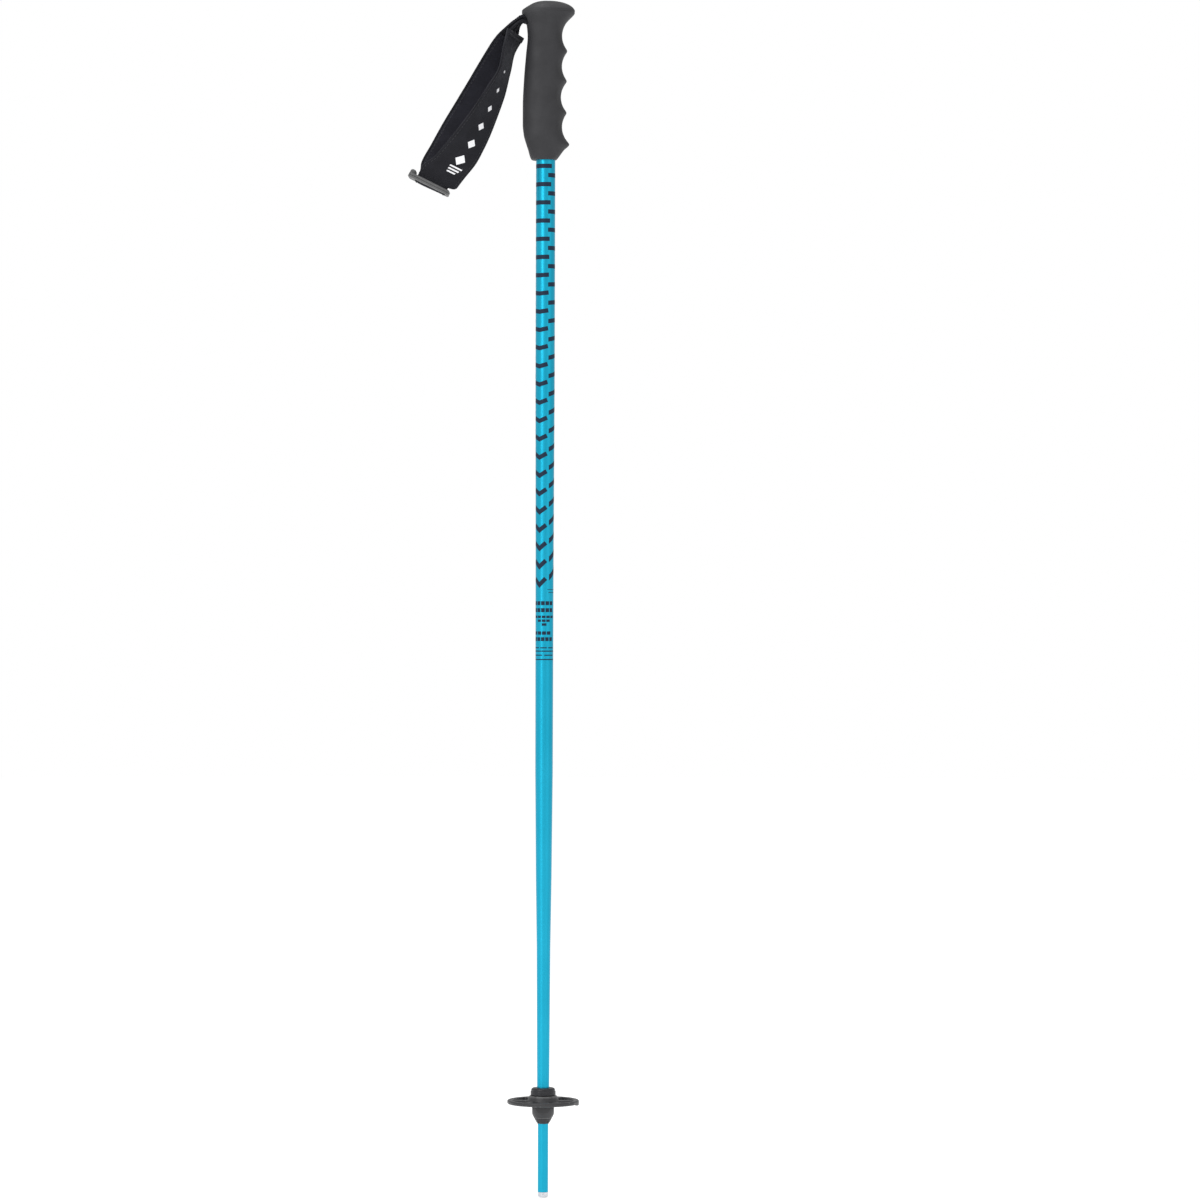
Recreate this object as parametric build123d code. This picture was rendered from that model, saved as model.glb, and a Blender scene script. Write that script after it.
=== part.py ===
"""Alpine ski pole with a finger-groove grip, a wrist strap and a basket.

The origin is the lowest point of the tip, on the shaft's axis. +Z runs up the shaft, +X points to
the finger grooves, and the wrist strap hangs from the back of the head, on the -X side.
Millimetres throughout.
"""

from build123d import *
from math import cos, radians, sin
import os

# ---- Driving dimensions ----
WALL = 1.2                     # wall of the aluminium tube
TUBE_END = 962.0               # top end of the tube, inside the grip
FERRULE_TOP = 4.8              # where the tube ends and the bare metal tip begins
INSERT_RADIUS = 1.8
INSERT_TOP = 9.0
SHAFT_STATIONS = [             # height and outside diameter of the tube
    (FERRULE_TOP, 8.8),
    (62.0, 8.8),
    (92.0, 10.2),
    (208.0, 11.4),
    (268.0, 13.1),
    (356.0, 14.6),
    (540.0, 15.0),
    (680.0, 16.0),
    (TUBE_END, 16.0),
]
RUNNING_GAP = 0.05             # radial clearance of the basket on its sleeve
END_GAP = 0.3                  # clearance between faces that move past each other

# Basket
FLANGE_TOP = 92.0
FLANGE_BOTTOM = 85.6
FLANGE_RADIUS = 10.5
FLANGE_STEP = 89.2             # height of the small step in the flange's side
FLANGE_SHOULDER = 2.0          # rounding of the flange's top edge
SLEEVE_RADIUS = 6.6
COLLET_TOP = 66.0
COLLET_BOTTOM = 62.0
COLLET_SLOTS = 4
COLLET_SLOT_WIDTH = 0.9
PLATE_RADIUS = 30.0
PLATE_TOP = 82.0
PLATE_BOTTOM = 76.2            # underside of the plate where it meets the hub
PLATE_BASE_RADIUS = 21.0       # where the underside turns from the hub's cone to the flat rim
RIM_BOTTOM = 78.6              # underside of the plate's rim
RIM_INNER = 26.8               # inner edge of the rim's flat top
RIM_EDGE = 1.2                 # rounding of the rim
DISH_RADIUS = 13.2             # where the dished top meets the collar round the sleeve
DISH_DEPTH = 0.8
COLLAR_RADIUS = 11.4
LIP_BOTTOM = 76.6              # underside of the lip at its deepest, in front
LIP_START = 26.2               # where the lip's sloped underside leaves the rim
LIP_EDGE = 0.9                 # rounding of the lip
HUB_ACROSS = 18.2              # across the flats of the hub under the plate
HUB_CHAMFER = 2.8
HUB_FLARE = 1.5                # how far the plate's underside runs level past the hub
HUB_BOTTOM = COLLET_TOP + 0.5
HUB_PROFILE = [                # three points on the arc that the hub and the collet narrow along
    (4.8, 0, COLLET_BOTTOM),
    (8.0, 0, 67.6),
    (11.6, 0, 77.0),
]
WINDOW_COUNT = 6
WINDOW_INNER = 13.5
WINDOW_OUTER = 26.0
WINDOW_CORNER = 1.6
SPOKE_WIDTH = 4.6
MOULDED_EDGE = 0.5             # rounding of moulded edges

# Grip: height, back, front and half width of each section, before the finger grooves
GRIP_SECTIONS = [
    (867.0, -11.8, 9.6, 10.9),
    (874.0, -14.0, 14.8, 12.2),
    (880.5, -16.2, 19.4, 13.0),
    (895.0, -19.1, 18.8, 14.0),
    (912.0, -19.3, 18.1, 14.3),
    (935.0, -18.3, 18.1, 14.1),
    (955.0, -16.6, 18.2, 13.8),
    (970.0, -15.4, 16.6, 13.9),
    (979.0, -15.9, 15.4, 14.4),
    (990.5, -20.5, 24.2, 17.4),
]
CROWN_SECTIONS = [
    (990.5, -20.5, 24.2, 17.4),
    (993.5, -18.7, 23.6, 16.9),
    (996.4, -14.6, 20.2, 14.6),
    (998.8, -8.6, 14.0, 10.4),
    (1000.0, -2.0, 6.5, 4.6),
]
GROOVE_PITCH = 26.1            # between the valleys of neighbouring finger grooves
GROOVE_HEIGHT = 893.6          # valley of the lowest groove
GROOVE_VALLEY = 13.2           # distance of a valley from the shaft's axis
GROOVE_RADIUS = 18.5
FINGER_GROOVES = 4
GRIP_BOTTOM = GRIP_SECTIONS[0][0]
RIM_HEIGHT = CROWN_SECTIONS[0][0]

# Hard core and the strap's fixing inside the head
CORE_BOTTOM = 881.0
CORE_SLEEVE_RADIUS = 10.5
CORE_HEAD_RADIUS = 12.2
POCKET_RADIUS = 10.8
POCKET_FLOOR = 970.0
ANCHOR_TOP = 988.0
SCREW_SEAT = 976.2             # face that the screw's washer rests on
SCREW_RADIUS = 2.0
SCREW_HEAD_RADIUS = 4.0
SCREW_LENGTH = 30.0
PLUG_LENGTH = 24.0
PIN_RADIUS = 2.0
PIN_LENGTH = 19.0              # its ends reach into the core
STRAP_PIN_X = -5.5
STRAP_PIN_Z = 984.0
WEBBING = 1.5                  # thickness of the webbing
STRAND_WIDTH = 14.0            # width of the webbing where it is gathered into the head
FOLD_OUTER = PIN_RADIUS + WEBBING
MOUTH_X = -19.8                # outer end of the webbing inside the head
MOUTH_OUTSIDE = -24.0          # beyond the back of the head
WEDGE_X = (-18.6, -9.0)        # thick and thin end of the wedge between the two strands
WEDGE_THIN = 2.4

# Strap outside the head
STRAP_LEAN = 26.0              # degrees from the vertical
NECK_TOP = (-24.1, 0.0, 981.4)
NECK_END = (-27.2, 0.0, 978.3)
NECK_HALF = 3.3                # half thickness of the gathered webbing
BUCKLE_CENTRE = (-97.0, 0.0, 847.4)    # middle of the slider's bar
PANEL = 1.8                    # thickness of the bands of the loop
LINING = 1.0
LINING_SHARE = 0.9             # width of the lining as a share of the band's
BAR_RADIUS = 1.9               # middle bar of the slider
FOLD_INNER = BAR_RADIUS + END_GAP
BAND_AT_BUCKLE = 27.0          # width of the webbing in the slider
BAND_OFFSET = 1.9              # the webbing's middle in the slider, from the slider's middle
FOLD_TOP = 4.0                 # where the bands begin, above the slider's bar
BUCKLE_LENGTH = 37.0
BUCKLE_DEPTH = 24.0
BUCKLE_THICKNESS = 4.2
BUCKLE_DROP = 1.0              # the frame's middle, below the bar's
BUCKLE_CORNER = 3.0
BUCKLE_EDGE = 1.0              # rounding of the frame's edges
OUTER_BAR = 3.0                # width of the slider's front and back bars
SIDE_GROOVE = 0.7              # height of the groove round the slider's side
TAB_LENGTH = 5.0               # finger tab at the slider's left end
TAB_DEPTH = 16.0
TAB_HEIGHT = 5.4
TAB_EDGE = 2.0                 # rounding of the tab

# Each section of a band: its middle (x, y, z), its width, and how far it has turned from edge-on (0)
# to flat (90) about the strap's length
END_OFFSET = FOLD_INNER + PANEL / 2
FRONT_SECTIONS = [
    ((-25.2, -1.0, 970.9), 25.0, 32.0),
    ((-29.8, -7.5, 957.5), 26.0, 20.0),
    ((-33.6, -12.0, 941.5), 26.5, 18.0),
    ((-41.2, -15.5, 922.5), 28.0, 31.0),
    ((-51.2, -16.0, 902.5), 29.5, 44.0),
    ((-63.9, -14.0, 880.7), 31.0, 62.0),
    ((-77.0, -9.5, 863.0), 31.5, 88.0),
]
BACK_SECTIONS = [
    ((-34.6, 1.5, 970.5), 20.0, 45.0),
    ((-40.2, 8.5, 953.5), 27.0, 66.0),
    ((-49.0, 13.5, 933.5), 29.0, 80.0),
    ((-60.2, 16.5, 913.5), 30.0, 88.0),
    ((-71.8, 16.0, 893.5), 30.0, 90.0),
    ((-82.6, 12.5, 874.0), 29.5, 90.0),
    ((-90.2, 8.0, 859.5), 28.5, 90.0),
]


# ---- Helpers ----
def turned(points):
    """Solid of revolution about the shaft's axis, from (radius, height) points."""
    outline = Polyline(*[(radius, 0, height) for radius, height in points], close=True)
    return revolve(make_face(outline), Axis.Z)


def cylinder(radius, bottom, top):
    """Upright cylinder on the shaft's axis."""
    return Pos(0, 0, bottom) * Cylinder(radius, top - bottom, align=(Align.CENTER, Align.CENTER, Align.MIN))


def block(low, high):
    """Box between two corners."""
    size = [end - start for start, end in zip(low, high)]
    return Pos(*low) * Box(*size, align=(Align.MIN, Align.MIN, Align.MIN))


def cross_bar(radius, length, x, z):
    """Cylinder along Y, centred on the shaft's mid plane."""
    return Pos(x, 0, z) * Rot(90, 0, 0) * Cylinder(radius, length)


def shaft_radius(height):
    """Outside radius of the tube at a height."""
    for (low, narrow), (high, wide) in zip(SHAFT_STATIONS, SHAFT_STATIONS[1:]):
        if low <= height <= high:
            share = (height - low) / (high - low)
            return (narrow + share * (wide - narrow)) / 2
    raise ValueError(f"no tube at a height of {height}")


def ring_edges(shape, radius, height):
    """Circular edges of a radius at a height."""
    circles = shape.edges().filter_by(GeomType.CIRCLE)
    return [edge for edge in circles if abs(edge.radius - radius) < 0.01 and abs(edge.arc_center.Z - height) < 0.01]


def oval_stack(sections):
    """Solid through upright ovals, each given as height, back, front and half width."""
    ovals = []
    for height, back, front, half_width in sections:
        oval = Ellipse((front - back) / 2, half_width)
        ovals.append(Pos((front + back) / 2, 0, height) * oval)
    return loft(ovals, ruled=True)


# ---- Shaft and tip ----
def make_shaft_tube():
    outside = [(width / 2, height) for height, width in SHAFT_STATIONS]
    inside = [(width / 2 - WALL, height) for height, width in reversed(SHAFT_STATIONS)]
    return turned(outside + inside)


def make_tube_plug():
    plug = cylinder(shaft_radius(TUBE_END) - WALL, TUBE_END - PLUG_LENGTH, TUBE_END)
    return plug - cylinder(SCREW_RADIUS, TUBE_END - PLUG_LENGTH, TUBE_END)


def make_tip_ferrule():
    """Rounded end with a shank glued into the tube and a hole for the insert."""
    end_radius = 4.35
    rounding = 2.0
    shank_radius = shaft_radius(FERRULE_TOP) - WALL
    shank_top = 29.0
    ferrule = turned([
        (INSERT_RADIUS, 0.3),
        (end_radius, 0.3),
        (end_radius, FERRULE_TOP),
        (shank_radius, FERRULE_TOP),
        (shank_radius, shank_top),
        (0, shank_top),
        (0, INSERT_TOP),
        (INSERT_RADIUS, INSERT_TOP),
    ])
    end_edge = ferrule.edges().group_by(Axis.Z)[0].sort_by(SortBy.RADIUS)[-1]
    return fillet(end_edge, rounding)


def make_tip_insert():
    """Hard pin with a hollow end, so that its rim bites."""
    return turned([(0, 0.8), (1.3, 0), (INSERT_RADIUS, 0), (INSERT_RADIUS, INSERT_TOP), (0, INSERT_TOP)])


# ---- Basket ----
def make_basket_sleeve():
    """Flanged sleeve pressed on the tube."""
    bore = [(shaft_radius(height), height) for height in (FLANGE_TOP, COLLET_TOP)]
    sleeve = turned(bore + [
        (SLEEVE_RADIUS, COLLET_TOP),
        (SLEEVE_RADIUS, FLANGE_BOTTOM),
        (FLANGE_RADIUS, FLANGE_BOTTOM),
        (FLANGE_RADIUS, FLANGE_STEP),
        (FLANGE_RADIUS - MOULDED_EDGE, FLANGE_STEP),
        (FLANGE_RADIUS - MOULDED_EDGE, FLANGE_TOP),
    ])
    sleeve = fillet(ring_edges(sleeve, FLANGE_RADIUS - MOULDED_EDGE, FLANGE_TOP), FLANGE_SHOULDER)
    sleeve = fillet(ring_edges(sleeve, FLANGE_RADIUS, FLANGE_STEP), MOULDED_EDGE / 2)
    return fillet(ring_edges(sleeve, FLANGE_RADIUS, FLANGE_BOTTOM), MOULDED_EDGE)


def make_hub_taper():
    """Solid that narrows in one arc along the hub and the collet under it."""
    narrow, middle, wide = HUB_PROFILE
    arc = ThreePointArc(narrow, middle, wide)
    sides = Polyline(wide, (0, 0, wide[2]), (0, 0, narrow[2]), narrow)
    return revolve(make_face(arc + sides), Axis.Z)


def make_plate():
    """Dished plate with a rounded rim."""
    plate = turned([
        (0, PLATE_BOTTOM),
        (HUB_ACROSS / 2 + HUB_FLARE, PLATE_BOTTOM),
        (PLATE_BASE_RADIUS, RIM_BOTTOM - 0.4),
        (PLATE_RADIUS, RIM_BOTTOM),
        (PLATE_RADIUS, PLATE_TOP),
        (RIM_INNER, PLATE_TOP - 0.4),
        (DISH_RADIUS, PLATE_TOP - DISH_DEPTH),
        (COLLAR_RADIUS, FLANGE_BOTTOM - END_GAP),
        (0, FLANGE_BOTTOM - END_GAP),
    ])
    return fillet(rim_edges(plate), RIM_EDGE)


def make_lip():
    """Wedge under the front of the rim, deepest at the very front."""
    lip_top = PLATE_TOP - RIM_EDGE
    side = Polygon((LIP_START, RIM_BOTTOM), (PLATE_RADIUS, LIP_BOTTOM), (PLATE_RADIUS, lip_top),
                   (LIP_START, lip_top), align=None)
    wedge = extrude(Plane.XZ * side, PLATE_RADIUS, both=True)
    lip = wedge & cylinder(PLATE_RADIUS, LIP_BOTTOM, lip_top)
    lower_edges = rim_edges(lip).filter_by(lambda edge: edge.center().Z < RIM_BOTTOM)
    return fillet(lower_edges, LIP_EDGE)


def rim_edges(shape):
    """Edges that run round the plate's outermost wall."""
    edges = ShapeList()
    for edge in shape.edges():
        middle = edge.position_at(0.5)
        reach = (middle.X ** 2 + middle.Y ** 2) ** 0.5
        if abs(reach - PLATE_RADIUS) < 0.01 and abs(edge.tangent_at(0.5).Z) < 0.9:
            edges.append(edge)
    return edges


def make_window():
    """Opening between two spokes of the basket's plate, centred on +X."""
    bottom = LIP_BOTTOM - 2
    ring = cylinder(WINDOW_OUTER, bottom, FLANGE_BOTTOM) - cylinder(WINDOW_INNER, bottom, FLANGE_BOTTOM)
    half_angle = radians(180 / WINDOW_COUNT)
    reach = 2 * WINDOW_OUTER
    start = SPOKE_WIDTH / 2 / sin(half_angle)
    side = start + reach * cos(half_angle)
    wedge = Polygon((start, 0), (side, -reach * sin(half_angle)), (side, reach * sin(half_angle)), align=None)
    window = ring & Pos(0, 0, bottom) * extrude(wedge, FLANGE_BOTTOM - bottom)
    return fillet(window.edges().filter_by(Axis.Z), WINDOW_CORNER)


def window_edges(plate):
    """Edges round the top and the bottom of the plate's windows."""
    edges = []
    for edge in plate.edges():
        middle = edge.center()
        reach = (middle.X ** 2 + middle.Y ** 2) ** 0.5
        upright = abs(edge.tangent_at(0.5).Z) > 0.9
        if WINDOW_INNER - 0.1 < reach < WINDOW_OUTER + 0.1 and not upright:
            edges.append(edge)
    return edges


def make_basket():
    """Plate with windows and a lip in front, on a squared hub that turns on the sleeve."""
    plate = make_plate()
    for number in range(WINDOW_COUNT):
        plate -= Rot(0, 0, (number + 0.5) * 360 / WINDOW_COUNT) * make_window()
    plate = fillet(window_edges(plate), MOULDED_EDGE)
    squared = chamfer(Rectangle(HUB_ACROSS, HUB_ACROSS).vertices(), HUB_CHAMFER)
    hub = Pos(0, 0, HUB_BOTTOM) * extrude(squared, HUB_PROFILE[-1][2] - HUB_BOTTOM)
    hub = fillet((hub & make_hub_taper()).edges().filter_by(Axis.Z), MOULDED_EDGE)
    basket = plate + make_lip() + hub
    return basket - cylinder(SLEEVE_RADIUS + RUNNING_GAP, HUB_BOTTOM - 1, FLANGE_BOTTOM)


def make_basket_collet():
    """Cone that clips round the tube under the basket, split by slots."""
    bore = turned([(0, COLLET_BOTTOM), (shaft_radius(COLLET_BOTTOM), COLLET_BOTTOM),
                   (shaft_radius(COLLET_TOP), COLLET_TOP), (0, COLLET_TOP)])
    collet = make_hub_taper() & cylinder(FLANGE_RADIUS, COLLET_BOTTOM, COLLET_TOP)
    collet -= bore
    slot_top = COLLET_TOP - 1.2
    slot = block((0, -COLLET_SLOT_WIDTH / 2, COLLET_BOTTOM), (FLANGE_RADIUS, COLLET_SLOT_WIDTH / 2, slot_top))
    for number in range(COLLET_SLOTS):
        collet -= Rot(0, 0, (number + 0.5) * 360 / COLLET_SLOTS) * slot
    return collet


# ---- Grip ----
def make_mouth(side_gap, inner_x):
    """Opening at the back of the head that the webbing comes out of."""
    half_width = STRAND_WIDTH / 2 + side_gap
    low = STRAP_PIN_Z - FOLD_OUTER - side_gap
    high = STRAP_PIN_Z + FOLD_OUTER + side_gap
    return block((MOUTH_OUTSIDE, -half_width, low), (inner_x, half_width, high))


def make_core_outside():
    sleeve = cylinder(CORE_SLEEVE_RADIUS, CORE_BOTTOM, TUBE_END)
    return sleeve + cylinder(CORE_HEAD_RADIUS, TUBE_END, RIM_HEIGHT)


def make_grip_core():
    core = make_core_outside()
    core -= cylinder(shaft_radius(TUBE_END), CORE_BOTTOM, TUBE_END)
    core -= cylinder(SCREW_RADIUS + 0.3, TUBE_END, POCKET_FLOOR)
    core -= cylinder(POCKET_RADIUS, POCKET_FLOOR, RIM_HEIGHT)
    core -= make_strap_pin()
    return core - make_mouth(0.3, 0)


def make_grip_cover():
    grip = oval_stack(GRIP_SECTIONS)
    for number in range(FINGER_GROOVES):
        height = GROOVE_HEIGHT + number * GROOVE_PITCH
        grip -= cross_bar(GROOVE_RADIUS, 60, GROOVE_VALLEY + GROOVE_RADIUS, height)
    grip -= make_core_outside()
    grip -= cylinder(shaft_radius(TUBE_END), GRIP_BOTTOM, CORE_BOTTOM)
    return grip - make_mouth(0.6, 0)


def make_crown_cap():
    """Dome on the head, with a plug that closes the pocket."""
    plug = cylinder(POCKET_RADIUS, ANCHOR_TOP, RIM_HEIGHT)
    return oval_stack(CROWN_SECTIONS) + plug


# ---- Strap fixing in the head ----
def make_strap_anchor():
    """Block that holds the pin, with a cavity for the fold and a seat for the screw."""
    anchor = cylinder(POCKET_RADIUS, POCKET_FLOOR, ANCHOR_TOP)
    half_width = STRAND_WIDTH / 2 + 0.3
    fold_bottom = STRAP_PIN_Z - FOLD_OUTER - 0.3
    anchor -= block((-12, -half_width, fold_bottom), (STRAP_PIN_X + FOLD_OUTER + 0.4, half_width, ANCHOR_TOP))
    anchor -= cylinder(SCREW_HEAD_RADIUS + 0.5, SCREW_SEAT, ANCHOR_TOP)
    anchor -= cylinder(SCREW_RADIUS + 0.3, POCKET_FLOOR, SCREW_SEAT)
    return anchor - make_strap_pin()


def make_strap_pin():
    return cross_bar(PIN_RADIUS, PIN_LENGTH, STRAP_PIN_X, STRAP_PIN_Z)


def make_screw_washer():
    washer = cylinder(SCREW_HEAD_RADIUS + 0.3, SCREW_SEAT, SCREW_SEAT + 0.6)
    return washer - cylinder(SCREW_RADIUS + 0.2, SCREW_SEAT, SCREW_SEAT + 0.6)


def make_strap_screw():
    """Pan-head screw with a cross recess, from the anchor down into the tube's plug."""
    seat = SCREW_SEAT + 0.6
    top = seat + 2.7
    screw = cylinder(SCREW_RADIUS, seat - SCREW_LENGTH, seat) + cylinder(SCREW_HEAD_RADIUS, seat, top)
    recess_bar = block((-2.2, -0.5, top - 1.4), (2.2, 0.5, top))
    return screw - recess_bar - Rot(0, 0, 90) * recess_bar


def make_strap_head_fold():
    """Webbing from the mouth, round the pin and back to the mouth."""
    half_ring = cross_bar(FOLD_OUTER, STRAND_WIDTH, STRAP_PIN_X, STRAP_PIN_Z)
    half_ring -= block((-40, -STRAND_WIDTH, 950), (STRAP_PIN_X, STRAND_WIDTH, 1010))
    strands = block((MOUTH_X, -STRAND_WIDTH / 2, STRAP_PIN_Z - FOLD_OUTER),
                    (STRAP_PIN_X, STRAND_WIDTH / 2, STRAP_PIN_Z + FOLD_OUTER))
    strands -= block((MOUTH_X - 1, -STRAND_WIDTH, STRAP_PIN_Z - PIN_RADIUS),
                     (STRAP_PIN_X, STRAND_WIDTH, STRAP_PIN_Z + PIN_RADIUS))
    return half_ring - cross_bar(PIN_RADIUS, 60, STRAP_PIN_X, STRAP_PIN_Z) + strands


def make_strap_wedge():
    """Wedge that presses the two strands against the mouth, thinner towards the pin."""
    thick_x, thin_x = WEDGE_X
    outline = Polyline(
        (thick_x, 0, STRAP_PIN_Z - PIN_RADIUS),
        (thin_x, 0, STRAP_PIN_Z - WEDGE_THIN / 2),
        (thin_x, 0, STRAP_PIN_Z + WEDGE_THIN / 2),
        (thick_x, 0, STRAP_PIN_Z + PIN_RADIUS),
        close=True,
    )
    return extrude(make_face(outline), STRAND_WIDTH / 2 - 0.4, dir=(0, 1, 0), both=True)


# ---- Wrist strap ----
ACROSS = Vector(cos(radians(STRAP_LEAN)), 0, -sin(radians(STRAP_LEAN)))
DEEP = Vector(0, 1, 0)
UPWARD = Vector(sin(radians(STRAP_LEAN)), 0, cos(radians(STRAP_LEAN)))


def at_buckle(across, deep, up):
    """Point in the slider's own frame."""
    return Vector(*BUCKLE_CENTRE) + ACROSS * across + DEEP * deep + UPWARD * up


def band_section(section, share, inner, outer):
    """Rectangle across a band: a share of its width, between two distances from its middle plane."""
    middle, width, turn = section
    width_way = ACROSS * sin(radians(turn)) + DEEP * cos(radians(turn))
    out_way = ACROSS * cos(radians(turn)) - DEEP * sin(radians(turn))
    half = width_way * (width * share / 2)
    low, high = Vector(*middle) + out_way * inner, Vector(*middle) + out_way * outer
    return Polyline(low - half, low + half, high + half, high - half, close=True)


def make_band(sections, share, inner, outer):
    """Closed band through its sections."""
    return loft([make_face(band_section(section, share, inner, outer)) for section in sections], ruled=True)


def with_end(sections, side):
    """A panel's sections, with the one where it meets the fold round the slider's bar."""
    end = at_buckle(BAND_OFFSET, side * END_OFFSET, FOLD_TOP)
    return sections + [((end.X, end.Y, end.Z), BAND_AT_BUCKLE, 90.0)]


def make_strap_neck():
    """Gathered strands between the mouth of the head and the loop."""
    sections = [(NECK_TOP, STRAND_WIDTH, 0.0), (NECK_END, STRAND_WIDTH + 1, 0.0)]
    return make_band(sections, 1.0, -NECK_HALF, NECK_HALF)


def make_strap_bottom_fold():
    """Webbing under the slider's middle bar, with its two short legs."""
    outer = FOLD_INNER + PANEL
    plane = Plane(origin=at_buckle(BAND_OFFSET, 0, 0), x_dir=DEEP, z_dir=ACROSS)
    ring = Circle(outer) - Circle(FOLD_INNER)
    lower_half = ring & Pos(0, -outer / 2) * Rectangle(2 * outer, outer)
    upper_half = ring & Pos(0, outer / 2) * Rectangle(2 * outer, outer)
    below = lower_half if plane.from_local_coords((0, -1, 0)).Z < plane.origin.Z else upper_half
    up_sign = 1 if below is lower_half else -1
    legs = [Pos(side * END_OFFSET, up_sign * FOLD_TOP / 2) * Rectangle(PANEL, FOLD_TOP) for side in (-1, 1)]
    outline = below + legs[0] + legs[1]
    return extrude(plane * outline, BAND_AT_BUCKLE / 2, both=True)


def make_strap_tail():
    """Free end of the webbing, lying against the outside of the back panel."""
    tail_width = BAND_AT_BUCKLE - 2
    side = END_OFFSET + PANEL + 0.2
    low = at_buckle(BAND_OFFSET, side, FOLD_TOP)
    near = Vector(*BACK_SECTIONS[-1][0]) + DEEP * (PANEL + 0.2)
    top = Vector(*BACK_SECTIONS[-2][0]) + DEEP * (PANEL + 0.2)
    sections = [((point.X, point.Y, point.Z), tail_width, 90.0) for point in (top, near, low)]
    return make_band(sections, 1.0, -WEBBING / 2, WEBBING / 2)


def make_buckle_frame():
    """Rounded frame of the slider, with a groove round its side."""
    outline = fillet(Rectangle(BUCKLE_LENGTH, BUCKLE_DEPTH).vertices(), BUCKLE_CORNER)
    frame = extrude(outline, BUCKLE_THICKNESS / 2, both=True)
    faces = frame.edges().group_by(Axis.Z)
    frame = fillet(faces[0] + faces[-1], BUCKLE_EDGE)
    groove = extrude(outline, SIDE_GROOVE / 2, both=True) - extrude(offset(outline, -0.5), SIDE_GROOVE, both=True)
    return frame - groove


def make_strap_buckle():
    """Slider with three bars, and a finger tab on its left end."""
    slot_half = BAND_AT_BUCKLE / 2 + 0.4
    slot_reach = BUCKLE_DEPTH / 2 - OUTER_BAR
    slider = make_buckle_frame()
    slider -= block((BAND_OFFSET - slot_half, -slot_reach, -BUCKLE_THICKNESS),
                    (BAND_OFFSET + slot_half, slot_reach, BUCKLE_THICKNESS))
    tab_outline = fillet(Rectangle(TAB_LENGTH, TAB_DEPTH).vertices(), TAB_EDGE)
    tab = extrude(tab_outline, TAB_HEIGHT)
    tab = fillet(tab.edges().group_by(Axis.Z)[-1], TAB_EDGE)
    slider += Pos((TAB_LENGTH - BUCKLE_LENGTH) / 2, 0, 0) * tab
    slider = Pos(0, 0, -BUCKLE_DROP) * slider
    slider += Pos(BAND_OFFSET, 0, 0) * Rot(0, 90, 0) * Cylinder(BAR_RADIUS, 2 * slot_half + 1)
    plane = Plane(origin=at_buckle(0, 0, 0), x_dir=ACROSS, z_dir=UPWARD)
    return plane * slider


# ---- Write one file per node ----
def main():
    nodes = {
        "shaft_tube": make_shaft_tube(),
        "tube_plug": make_tube_plug(),
        "tip_ferrule": make_tip_ferrule(),
        "tip_insert": make_tip_insert(),
        "basket_sleeve": make_basket_sleeve(),
        "basket": make_basket(),
        "basket_collet": make_basket_collet(),
        "grip_core": make_grip_core(),
        "grip_cover": make_grip_cover(),
        "crown_cap": make_crown_cap(),
        "strap_anchor": make_strap_anchor(),
        "strap_pin": make_strap_pin(),
        "strap_screw": make_strap_screw(),
        "screw_washer": make_screw_washer(),
        "strap_wedge": make_strap_wedge(),
        "strap_head_fold": make_strap_head_fold(),
        "strap_neck": make_strap_neck(),
        "strap_front_panel": make_band(with_end(FRONT_SECTIONS, -1), 1.0, -PANEL / 2, PANEL / 2),
        "strap_back_panel": make_band(with_end(BACK_SECTIONS, 1), 1.0, -PANEL / 2, PANEL / 2),
        "strap_front_lining": make_band(FRONT_SECTIONS, LINING_SHARE, -PANEL / 2 - LINING, -PANEL / 2),
        "strap_back_lining": make_band(BACK_SECTIONS, LINING_SHARE, PANEL / 2, PANEL / 2 + LINING),
        "strap_bottom_fold": make_strap_bottom_fold(),
        "strap_tail": make_strap_tail(),
        "strap_buckle": make_strap_buckle(),
    }
    os.makedirs("parts", exist_ok=True)
    for name, shape in nodes.items():
        export_step(shape, f"parts/{name}.step")


main()
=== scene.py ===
"""Looks of an alpine ski pole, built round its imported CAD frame.

Sizes and places are in millimetres in the part's frame. They become metres where a mesh or the camera is
made, and the lights are in metres and watts. +Z runs up the shaft, +X points to the finger grooves, and
the strap hangs on the -X side.
"""

from math import cos, exp, pi, radians, sin, tan, tau

import bmesh
import bpy
import numpy as np
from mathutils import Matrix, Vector


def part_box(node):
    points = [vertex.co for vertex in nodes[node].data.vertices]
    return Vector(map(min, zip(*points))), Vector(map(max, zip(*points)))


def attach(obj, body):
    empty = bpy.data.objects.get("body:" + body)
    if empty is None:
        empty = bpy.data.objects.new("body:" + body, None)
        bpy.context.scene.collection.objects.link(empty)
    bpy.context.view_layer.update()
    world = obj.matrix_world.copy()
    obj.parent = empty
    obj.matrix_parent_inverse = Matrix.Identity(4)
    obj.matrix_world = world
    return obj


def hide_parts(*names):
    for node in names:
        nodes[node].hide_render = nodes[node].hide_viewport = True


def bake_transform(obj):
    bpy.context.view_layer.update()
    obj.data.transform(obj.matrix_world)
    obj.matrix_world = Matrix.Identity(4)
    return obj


MM = 0.001
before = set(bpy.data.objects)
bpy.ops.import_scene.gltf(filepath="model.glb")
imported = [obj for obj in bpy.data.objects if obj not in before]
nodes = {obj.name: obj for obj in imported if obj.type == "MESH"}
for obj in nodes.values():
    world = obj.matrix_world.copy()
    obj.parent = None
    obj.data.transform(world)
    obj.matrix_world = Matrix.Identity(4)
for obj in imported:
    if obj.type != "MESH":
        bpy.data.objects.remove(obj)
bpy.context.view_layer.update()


def box_mm(node):
    """Lowest and highest corner of a CAD node in millimetres."""
    low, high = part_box(node)
    return np.array(low) / MM, np.array(high) / MM


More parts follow.
